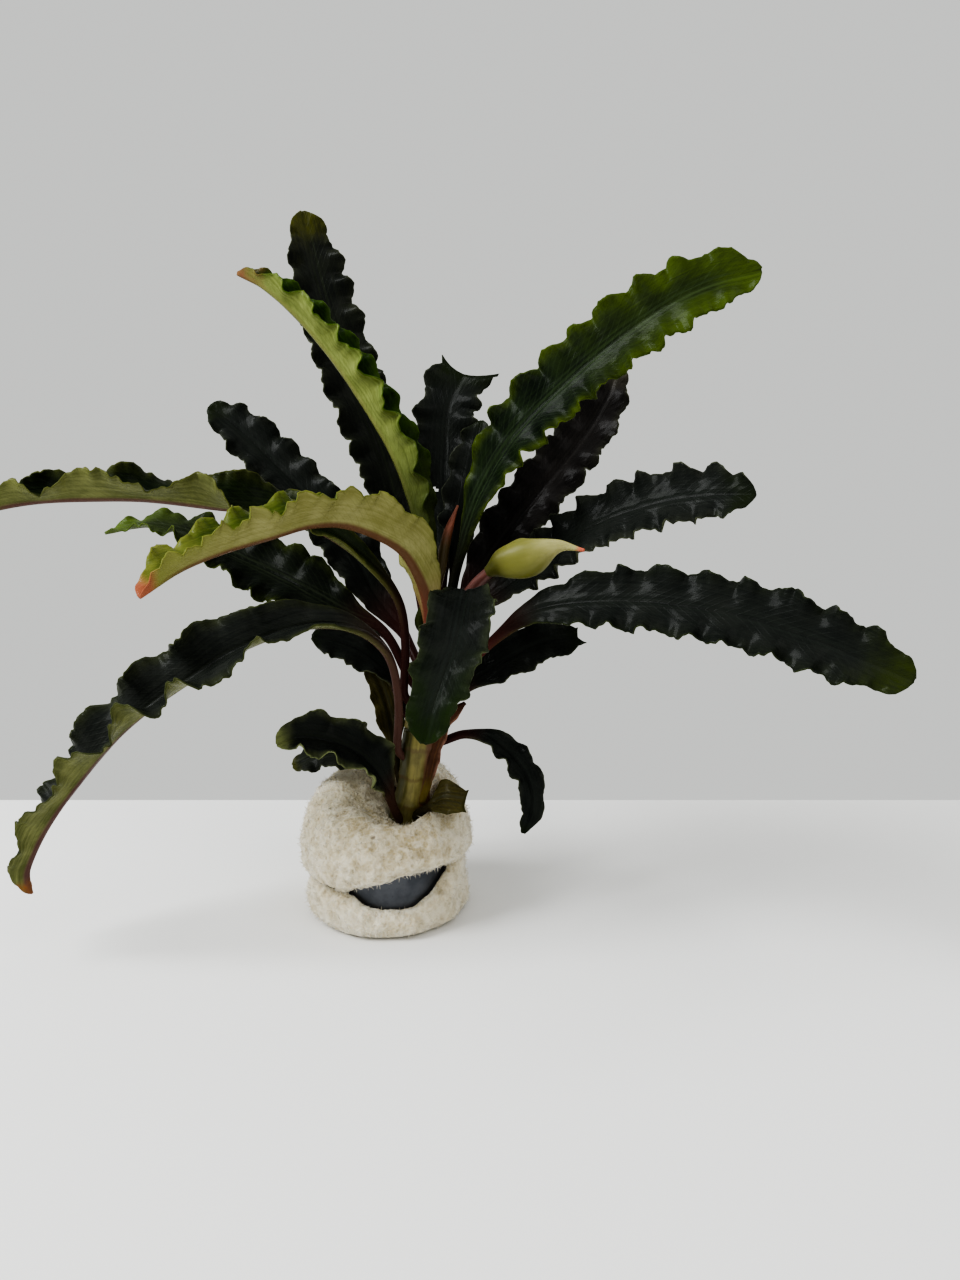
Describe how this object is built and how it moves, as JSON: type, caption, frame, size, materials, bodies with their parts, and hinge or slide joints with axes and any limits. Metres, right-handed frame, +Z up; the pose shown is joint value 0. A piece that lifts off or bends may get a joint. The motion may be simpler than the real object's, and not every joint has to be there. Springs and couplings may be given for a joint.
{
  "type": "bucephalandra aquarium plant",
  "caption": "Small wavy-leaved aquarium plant with a flower bud, its stem held upright in a soft foam plug with a lead strip round it.",
  "frame": {"origin": "centre of the foam plug's flat underside, on the surface it stands on", "axes": "+Z up along the plug and stem; -Y is the front, where the lead strip shows; +X to the right in the front view"},
  "size_m": [0.1399, 0.0728, 0.1191],
  "materials": {
    "leaf_dark": "wet glossy leaf, near-black green with a violet cast, paler grooved midrib and fine parallel veins",
    "leaf_green": "wet glossy leaf, dark green at the foot to yellow-green at the tip and margins",
    "leaf_underside": "soft satin underside of a leaf, olive yellow-green with fine veins and a reddish midrib",
    "stem": "smooth fleshy stem, yellow-green, darker and rougher at its foot",
    "red_growth": "thin young or dry growth, salmon red to brown",
    "flower": "smooth waxy bud, pale yellow-green with a salmon tip",
    "foam": "soft open-cell foam, off-white, finely porous and slightly mottled",
    "lead": "soft dull lead sheet, blue-grey with a lightly scuffed surface"
  },
  "bodies": {
    "root": {"foam_plug": "foam", "lead_strip": "lead", "stem": "stem", "flower_stalk": "red_growth", "flower_bud": "flower", "new_shoot": "red_growth", "dry_sheath": "red_growth", "leaf_tall_back": "leaf_dark", "leaf_folded_upright": "leaf_underside", "leaf_back_left": "leaf_dark", "leaf_far_left": "leaf_dark", "leaf_front_left": "leaf_underside", "leaf_broad_left": "leaf_dark", "leaf_long_drooping": "leaf_dark", "leaf_short_left": "leaf_dark", "leaf_bitten_back": "leaf_dark", "leaf_small_back": "leaf_dark", "leaf_tall_right": "leaf_green", "leaf_back_right": "leaf_dark", "leaf_middle_right": "leaf_dark", "leaf_long_right": "leaf_dark", "leaf_eaten_right": "leaf_dark", "leaf_front": "leaf_dark", "leaf_low_left": "leaf_dark", "leaf_low_small": "leaf_dark", "leaf_narrow_upright": "leaf_dark", "leaf_curled_right": "leaf_dark", "leaf_stub_front": "leaf_dark"}
  },
  "joints": []
}
